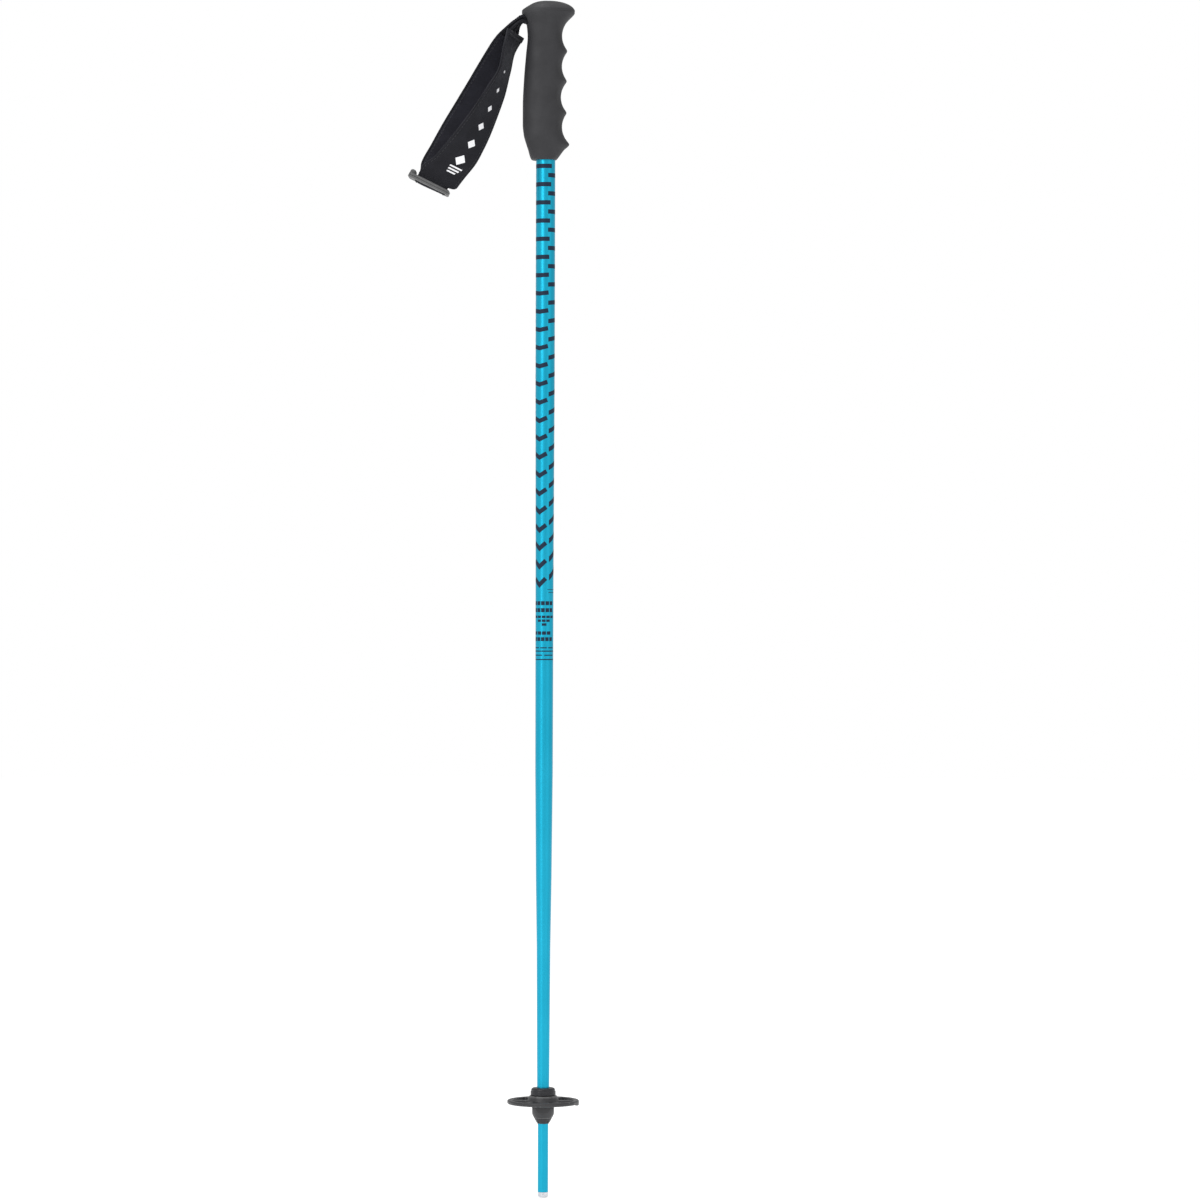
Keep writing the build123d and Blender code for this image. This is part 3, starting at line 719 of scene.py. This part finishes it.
def make_grip():
    """Overmoulded grip: outside with finger grooves, open bore inside, and a mouth for the strap."""
    bottom, top = GRIP_STATIONS[0][0], GRIP_STATIONS[-1][0]
    rings = []
    for inset, rise in GRIP_LIP:
        rings.append(inset_ring(bottom + rise, between_stations(GRIP_STATIONS, bottom + rise), inset))
    for height in np.arange(bottom + GRIP_BODY_RISE, top, GRIP_SPACING):
        back, front, half_width = between_stations(GRIP_STATIONS, height)
        grooved_front = groove_front(height, front)
        rings.append(oval_ring(height, back, front, half_width, GRIP_SIDES, grooved_front))
    for inset, rise in GRIP_RIM:
        rings.append(inset_ring(top + rise, between_stations(GRIP_STATIONS, top), inset))
    bore = [(top, CORE_RADIUS), (TUBE_HIGH[2] + 1, CORE_RADIUS),
            (TUBE_HIGH[2], GRIP_BORE), (bottom + 0.3, GRIP_BORE)]
    for height, radius in bore:
        rings.append(round_ring(height, radius, GRIP_SIDES))
    faces = ring_faces(len(rings), GRIP_SIDES, looped=True)
    grip = add_piece("grip", np.concatenate(rings), faces, GRIP_RUBBER)
    cut_mouth(grip)
    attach(grip, "pole")
    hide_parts("grip_cover")


def rounded_slot(half_width, half_height, corner, steps=6):
    """Outline of the mouth in Y and Z, round its middle."""
    outline = []
    for quarter, (side_y, side_z) in enumerate(((1, 1), (-1, 1), (-1, -1), (1, -1))):
        for step in range(steps + 1):
            angle = pi / 2 * (quarter + step / steps)
            outline.append((side_y * (half_width - corner) + corner * cos(angle),
                            side_z * (half_height - corner) + corner * sin(angle)))
    return outline


def cut_mouth(grip):
    """Cuts the strap's mouth into the back of the head, flared at its rim."""
    rings = []
    for x, flare in MOUTH_FLARES:
        outline = rounded_slot(MOUTH_HALF_WIDTH + flare, MOUTH_HALF_HEIGHT + flare, MOUTH_CORNER + flare)
        rings.append([(x, y, PIN[2] + z) for y, z in outline])
    faces = ring_faces(len(rings), len(rings[0]))
    cutter = add_piece("mouth_cutter", np.concatenate(rings), faces, GRIP_RUBBER)
    cut = grip.modifiers.new("mouth", "BOOLEAN")
    cut.operation = "DIFFERENCE"
    cut.solver = "EXACT"
    cut.object = cutter
    apply_modifiers(grip)
    bpy.data.objects.remove(cutter)
    grip.data.shade_smooth()
    grip.data.set_sharp_from_angle(angle=radians(40))


def apply_modifiers(piece):
    """Replaces a piece's mesh with the result of its modifiers."""
    evaluated = piece.evaluated_get(bpy.context.evaluated_depsgraph_get())
    mesh = bpy.data.meshes.new_from_object(evaluated)
    piece.modifiers.clear()
    piece.data = mesh


def make_crown():
    """Domed cap on the head."""
    bottom, top = CROWN_STATIONS[0][0], CROWN_STATIONS[-1][0]
    rings = [inset_ring(bottom, CROWN_STATIONS[0][1:], CROWN_INSET)]
    for share in np.linspace(CROWN_FIRST_SHARE, 1, CROWN_RINGS):
        height = bottom + (top - bottom) * sin(share * pi / 2)
        rings.append(oval_ring(height, *between_stations(CROWN_STATIONS, height), GRIP_SIDES))
    crown = add_piece("crown", np.concatenate(rings), ring_faces(len(rings), GRIP_SIDES), CROWN_RUBBER)
    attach(crown, "pole")
    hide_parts("crown_cap")


make_grip()
make_crown()


# ---- Strap ----
def at_buckle(across, deep, up):
    """Point from its distances from the middle of the slider's bar."""
    return BUCKLE_CENTRE + ACROSS * across + DEEP * deep + UPWARD * up


def webbing_stations():
    """Once round the webbing: middle, width, turn (0 is edge-on, 90 is flat) and how gathered it is."""
    front = [
        ((-25.6, -1.0, 972.9), 25.0, 33, 0.12),
        ((-30.9, -7.5, 957.5), 26.2, 20, 0),
        ((-34.0, -12.0, 941.5), 26.5, 18, 0),
        ((-41.3, -15.5, 922.5), 28.0, 31, 0),
        ((-51.3, -16.0, 902.5), 29.5, 44, 0),
        ((-64.1, -14.0, 880.7), 31.0, 62, 0),
        ((-77.3, -9.5, 863.2), 31.8, 88, 0),
        (tuple(at_buckle(5.8, -6.4, 9.6)), 35.4, 90, 0),
        (tuple(at_buckle(5.0, -4.9, 4.6)), 33.2, 90, 0),
        (tuple(at_buckle(2.0, -3.8, 3.0)), 27.2, 90, 0),
    ]
    fold = []
    for deep, up in ((-1, 0.5), (-1, 0), (-0.71, -0.71), (0, -1), (0.71, -0.71), (1, 0), (1, 1.3)):
        middle = at_buckle(BAND_OFFSET, deep * FOLD_RADIUS, up * FOLD_RADIUS)
        fold.append((tuple(middle), BAND_AT_BUCKLE, 90, 0))
    back = [
        ((-90.8, 8.0, 859.8), 29.6, 90, 0),
        ((-82.9, 12.5, 874.3), 30.3, 90, 0),
        ((-72.2, 16.0, 893.7), 30.9, 90, 0),
        ((-60.4, 16.5, 913.6), 30.6, 88, 0),
        ((-49.1, 13.5, 933.6), 29.2, 80, 0),
        ((-39.9, 8.5, 953.4), 25.4, 65, 0),
        ((-33.9, 3.4, 968.6), 19.4, 45, 0.3),
        ((-30.0, 1.4, 975.3), 16.2, 29, 0.6),
        ((-26.0, 0.4, 980.9), 14.2, 14, 0.8),
    ]
    head = [
        ((-23.2, 0.1, 983.9), 13.8, 4, 0.8),
        ((-20.6, 0.0, 986.3), 13.7, 1, 0.6),
        ((-15.0, 0.0, 986.1), 13.5, 0, 0.4),
        ((PIN[0], 0.0, PIN[2] + PIN_FOLD_RADIUS), 13.4, 0, 0),
        ((PIN[0] + PIN_FOLD_RADIUS, 0.0, PIN[2]), 13.4, 0, 0),
        ((PIN[0], 0.0, PIN[2] - PIN_FOLD_RADIUS), 13.4, 0, 0),
        ((-15.0, 0.0, 982.0), 13.5, 0, 0.4),
        ((-19.8, 0.0, 983.6), 13.7, 1, 0.9),
        ((-22.3, -0.1, 982.0), 14.0, 5, 0.9),
        ((-24.9, -0.3, 978.4), 14.4, 16, 0.7),
    ]
    strand = [
        ((-26.5, -0.4, 975.0), 15.4, 26, 0.6),
        ((-27.8, -0.2, 971.4), 16.4, 28, 0.5),
        ((-29.4, -2.4, 965.8), 18.0, 26, 0.2),
    ]
    return front, fold, back, head, strand


class Band:
    """Strip of cloth along smooth stations."""

    def __init__(self, stations):
        middles, widths, turns, gathers = zip(*stations)
        middles = np.array(middles, float)
        knots = np.concatenate([[0], np.cumsum(np.linalg.norm(np.diff(middles, axis=0), axis=1))])
        self.knots = knots
        count = int(knots[-1] / BAND_SPACING) + 1
        self.along = np.linspace(0, knots[-1], count)
        self.middle = np.stack([smooth(knots, middles[:, axis], self.along) for axis in range(3)], 1)
        self.width = eased(knots, widths, self.along)
        turn = np.radians(eased(knots, turns, self.along))[:, None]
        self.gather = eased(knots, gathers, self.along)
        way = np.gradient(self.middle, axis=0)
        way /= np.linalg.norm(way, axis=1)[:, None]
        self.sideways = ACROSS * np.sin(turn) + DEEP * np.cos(turn)
        out = np.cross(way, self.sideways)
        self.out = out / np.linalg.norm(out, axis=1)[:, None]

    def at(self, along, rows):
        """Place or direction at a distance along the band, from the rows worked out along it."""
        return np.array([np.interp(along, self.along, values) for values in rows.T])

    def point(self, along, across, lift):
        """Point from its distances along the band, across it and up from its middle plane."""
        middle, sideways, out = (self.at(along, rows) for rows in (self.middle, self.sideways, self.out))
        return middle + sideways * across + out * (lift + self.wave(along, across))

    def half_width(self, along):
        return float(np.interp(along, self.along, self.width)) / 2

    def wave(self, along, across):
        """Pleats where the band is gathered, and a slight unevenness elsewhere."""
        gather = float(np.interp(along, self.along, self.gather))
        share = across / self.half_width(along)
        pleats = PLEAT_DEPTH * gather * cos(2.5 * pi * share + 0.4)
        slack = SLACK_DEPTH * sin(along / SLACK_LENGTH + 1.3 * share) * (1 - share**2)
        ripple = RIPPLE_DEPTH * sin(along / RIPPLE_LENGTH + 2.1 * share)
        return pleats + (slack + ripple) * (1 - gather)


def edge_profile(half_width, half_thickness, ribbed):
    """Outline across a band as (distance across, lift, on the ribbed edge)."""
    edge = BOUND_EDGE if ribbed else PLAIN_EDGE
    inner_count = 17
    reach = half_width - edge[-1][0]
    left = [(-half_width + distance, lift, lift > RIB_ABOVE) for distance, lift in edge]
    middle = [(place, 1.0, False) for place in np.linspace(-reach, reach, inner_count)[1:-1]]
    upper = left + middle + [(-across, lift, rib) for across, lift, rib in reversed(left)]
    lower = [(across, -lift, rib) for across, lift, rib in reversed(upper[1:-1])]
    return [(across, lift * half_thickness, rib) for across, lift, rib in upper + lower]


def band_shell(band, start, end, low=-WEB_HALF, high=WEB_HALF, share=1.0, ribbed=True, closed=True):
    """Points, faces and cloth coordinates of a stretch of a band, between two lifts.

    Where it isn't closed by a neighbour, its end gets thinner.
    """
    count = max(2, int((end - start) / RING_SPACING) + 1)
    middle, half_thickness = (low + high) / 2, (high - low) / 2
    points, coordinates = [], []
    for along in np.linspace(start, end, count):
        ending = min(along - start, end - along)
        squeeze = 1.0 if closed else min(1.0, END_SHARE + ending / END_TAPER)
        profile = edge_profile(band.half_width(along) * share, half_thickness * squeeze, ribbed)
        for across, lift, rib in profile:
            if rib:
                lift += np.sign(lift) * RIB_DEPTH * sin(tau * along / RIB_PITCH)
            points.append(band.point(along, across, middle + lift))
            coordinates.append((across, along))
    return points, ring_faces(count, len(points) // count), coordinates


def add_band(name, band, start, end, material, **options):
    """Piece made of a stretch of a band."""
    points, faces, coordinates = band_shell(band, start, end, **options)
    return add_piece(name, points, faces, material, crease=60, uv=coordinates)


FRONT, FOLD, BACK, HEAD, STRAND = webbing_stations()
web = Band(FRONT + FOLD + BACK + HEAD + STRAND)
FOLD_START = web.knots[len(FRONT)]
FOLD_END = web.knots[len(FRONT + FOLD) - 1]
BACK_END = web.knots[len(FRONT + FOLD + BACK) - 1]
NECK_END = web.knots[len(FRONT + FOLD + BACK + HEAD) - 1]
WEB_END = web.knots[-1]


def with_loop(piece):
    """Bakes its placement into its mesh."""
    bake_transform(piece)


def make_webbing():
    """The band's five stretches, and the hem at its sewn end. Only the fold is attached to the strap
    loop's body.
    """
    neck = add_band("strap_neck_web", web, BACK_END, NECK_END, WEBBING)
    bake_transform(neck)
    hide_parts("strap_neck", "strap_head_fold")
    strand = add_band("strap_front_strand", web, NECK_END, WEB_END, WEBBING)
    with_loop(strand)
    front = add_band("strap_front_web", web, 0, FOLD_START, WEBBING)
    with_loop(front)
    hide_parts("strap_front_panel")
    back = add_band("strap_back_web", web, FOLD_END, BACK_END, WEBBING)
    with_loop(back)
    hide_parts("strap_back_panel")
    fold = add_band("strap_fold_web", web, FOLD_START, FOLD_END, WEBBING)
    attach(fold, "strap_loop")
    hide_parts("strap_bottom_fold")
    hem = add_band("strap_hem", web, HEM_START, HEM_END, WEBBING, low=WEB_HALF - 0.1,
                   high=WEB_HALF + HEM_THICKNESS, share=HEM_SHARE, ribbed=False, closed=False)
    with_loop(hem)
    return front, back


def add_lining(name, start, end):
    """Soft lining on the inside of a stretch of the band."""
    lining = add_band(name, web, start, end, LINING, low=-WEB_HALF - LINING_THICKNESS,
                      high=-WEB_HALF, share=LINING_SHARE, ribbed=False, closed=False)
    with_loop(lining)
    return lining


def make_linings():
    front = add_lining("strap_front_pad", LINING_START, FOLD_START - FRONT_LINING_STOP)
    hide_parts("strap_front_lining")
    back = add_lining("strap_back_pad", FOLD_END + LINING_START, BACK_END - BACK_LINING_STOP)
    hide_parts("strap_back_lining")
    return front, back


def stitch_shell(band, along, across, lift, slant=0.0):
    """One stitch that dips into the cloth at both ends."""
    rings = []
    for share, size, stand in STITCH_RINGS:
        ring = []
        for side in range(STITCH_SIDES):
            angle = side * tau / STITCH_SIDES
            aside = across + STITCH_HALF_WIDTH * size * cos(angle) + slant * share
            rise = stand + STITCH_HALF_WIDTH * size * sin(angle) * STITCH_FLATNESS
            ring.append(band.point(along + share * STITCH_LENGTH, aside, lift + np.sign(lift) * rise))
        rings.append(ring)
    return np.concatenate(rings), ring_faces(len(rings), STITCH_SIDES)


def stitch_row(band, start, end, from_edge, lift, side, share=1.0):
    """Row of stitches along one edge of a stretch of the band."""
    shells = []
    for along in np.arange(start, end, STITCH_PITCH):
        across = side * (band.half_width(along) * share - from_edge)
        shells.append(stitch_shell(band, along, across, lift))
    return shells


def cross_row(band, along, half_reach, lift):
    """Short stitches side by side across the band, as in a bar tack."""
    shells = []
    for across in np.arange(-half_reach, half_reach + 0.1, TACK_PITCH):
        shells.append(stitch_shell(band, along, across, lift, slant=TACK_SLANT))
    return shells


def make_stitches():
    """Stitches along the edges of each band and its lining, and across the hem and the back's top."""
    surface = WEB_HALF + 0.02
    pad_surface = -surface - LINING_THICKNESS
    rows = [                   # name, start and end of its rows, start of its tack and lift of the tack
        ("front", 7.5, FOLD_START - 6, 0, WEB_HALF + HEM_THICKNESS),
        ("back", FOLD_END + 7, BACK_END - 8, BACK_END - 14, surface),
    ]
    for name, start, end, tack, tack_lift in rows:
        shells = []
        for side in (-1, 1):
            shells += stitch_row(web, start, end, BAND_STITCH_INSET, surface * BEAD_HOLLOW, side)
            shells += stitch_row(web, start + 3, end - 7, LINING_STITCH_INSET, pad_surface, side,
                                 LINING_SHARE)
        for row in TACK_ROWS:
            shells += cross_row(web, tack + row, web.half_width(tack + row) - TACK_INSET, tack_lift)
        thread = joined(f"strap_{name}_stitches", shells, THREAD)
        with_loop(thread)


def print_patch(band, along, across, outline):
    """Thin printed shape on the outside of a band, from a convex outline round its middle."""
    low, high = WEB_HALF - PRINT_DEPTH, WEB_HALF + PRINT_PROUD
    rings = []
    for share, lift in ((1.0, low), (1.0, high), (0.66, high), (0.33, high)):
        rings.append([band.point(along + step * share, across + aside * share, lift)
                      for aside, step in outline])
    return np.concatenate(rings), ring_faces(len(rings), len(outline))


def divided(corners, steps=5):
    """Closed outline with its sides divided, so that it can follow the cloth."""
    outline = []
    for (x, y), (next_x, next_y) in zip(corners, corners[1:] + corners[:1]):
        for step in range(steps):
            outline.append((x + (next_x - x) * step / steps, y + (next_y - y) * step / steps))
    return outline


def lozenge(size):
    half_width, half_length = size * DIAMOND_SHARE, size / 2
    return divided([(0, -half_length), (half_width, 0), (0, half_length), (-half_width, 0)])


def short_bar(length, tall):
    x, y = length / 2, tall / 2
    return divided([(-x, -y), (x, -y), (x, y), (-x, y)])


def make_strap_print():
    """Plain diamonds that grow towards the slider, and three plain bars under the largest."""
    shells = []
    for number, size in enumerate(DIAMOND_SIZES):
        along = FIRST_DIAMOND + DIAMOND_PITCH * number
        across = LAST_ACROSS - DRIFT * exp(-number / DRIFT_FADE)
        shells.append(print_patch(web, along, across, lozenge(size)))
    for number, length in enumerate(BAR_LENGTHS):
        along = FIRST_BAR + BAR_GAP * number
        shells.append(print_patch(web, along, BARS_ACROSS, short_bar(length, BAR_WEIGHT)))
    ink = joined("strap_print", shells, STRAP_INK)
    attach(ink, "strap_loop")


def make_tail():
    """Free end of the webbing behind the slider, against the outside of the back band."""
    clear = WEB_HALF + TAIL_HALF + TAIL_GAP
    middles = [
        tuple(at_buckle(BAND_OFFSET, FOLD_RADIUS + clear, 4.2)),
        (-90.6, 8.0 + clear, 859.8),
        (-83.4, 12.5 + clear, 873.6),
    ]
    tail_band = Band([(middle, BAND_AT_BUCKLE - 2, 90, 0) for middle in middles])
    tail = add_band("strap_tail_web", tail_band, 0, tail_band.knots[-1], WEBBING,
                    low=-TAIL_HALF, high=TAIL_HALF, closed=False)
    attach(tail, "strap_loop")
    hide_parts("strap_tail")
    return tail


web_front, web_back = make_webbing()
pad_front, pad_back = make_linings()
make_stitches()
make_strap_print()
web_tail = make_tail()


# ---- Stage, light and camera ----
FLOOR_RADIUS = 9000.0
FLOOR_HEIGHT = -0.4
FLOOR_SIDES = 96
ROOM_LIGHT = 0.66              # light from all round, dimmer than the white that the camera sees
LIGHTS = [                     # name, place, what it points at, width and height, and power
    ("key", (-1.5, -2.2, 1.9), (0, 0, 0.6), (1.2, 1.6), 24),
    ("side", (-1.7, -2.3, 0.6), (0, 0, 0.5), (0.5, 1.9), 7),
    ("fill", (2.0, -1.9, 0.9), (0, 0, 0.5), (1.8, 1.6), 4),
    ("top", (0.0, 0.0, 2.8), (0, 0, 0.9), (1.0, 1.0), 16),
]
CAMERA_AWAY = 3800.0
CAMERA_AT = (46.4, 499.6)      # X and Z
CAMERA_ROLL = radians(-0.158)
VIEW_WIDTH = 1003.0            # what the camera sees across at the pole
SENSOR = 36.0


def make_floor():
    """Plain pale floor, just under the tip."""
    points = round_ring(FLOOR_HEIGHT, FLOOR_RADIUS, FLOOR_SIDES)
    finish = Finish("pale_floor", (0.9, 0.9, 0.9), 0.9, Specular_IOR_Level=0.0, Emission_Strength=0.42)
    finish.shader.inputs["Emission Color"].default_value = (1, 1, 1, 1)
    floor = add_piece("floor", points, [tuple(range(FLOOR_SIDES))], finish.material)


def add_light(name, place, target, size, power):
    """Rectangular lamp pointed at a target, in metres and watts."""
    light = bpy.data.lights.new(name, "AREA")
    light.shape = "RECTANGLE"
    light.size, light.size_y = size
    light.energy = power
    lamp = bpy.data.objects.new(name, light)
    lamp.location = place
    lamp.rotation_euler = (Vector(target) - Vector(place)).to_track_quat("-Z", "Y").to_euler()
    bpy.context.scene.collection.objects.link(lamp)


def light_scene():
    """Even light from all round, and the lamps."""
    world = bpy.data.worlds.new("studio")
    world.use_nodes = True
    background = world.node_tree.nodes["Background"]
    background.inputs["Color"].default_value = (1, 1, 1, 1)
    ray = world.node_tree.nodes.new("ShaderNodeLightPath")
    strength = world.node_tree.nodes.new("ShaderNodeMapRange")
    strength.inputs["To Min"].default_value = ROOM_LIGHT
    strength.inputs["To Max"].default_value = 1.0
    world.node_tree.links.new(ray.outputs["Is Camera Ray"], strength.inputs["Value"])
    world.node_tree.links.new(strength.outputs["Result"], background.inputs["Strength"])
    bpy.context.scene.world = world
    for lamp in LIGHTS:
        add_light(*lamp)


def place_camera():
    """Camera straight in front of the pole, a long way off."""
    camera_data = bpy.data.cameras.new("camera")
    camera_data.sensor_width = SENSOR
    camera_data.lens = SENSOR * CAMERA_AWAY / VIEW_WIDTH
    camera_data.clip_end = 60
    camera = bpy.data.objects.new("camera", camera_data)
    camera.location = Vector((CAMERA_AT[0], -CAMERA_AWAY, CAMERA_AT[1])) * MM
    camera.rotation_euler = (pi / 2, CAMERA_ROLL, 0)
    bpy.context.scene.collection.objects.link(camera)
    bpy.context.scene.camera = camera


make_floor()
light_scene()
place_camera()
bpy.context.scene.view_settings.view_transform = "Standard"
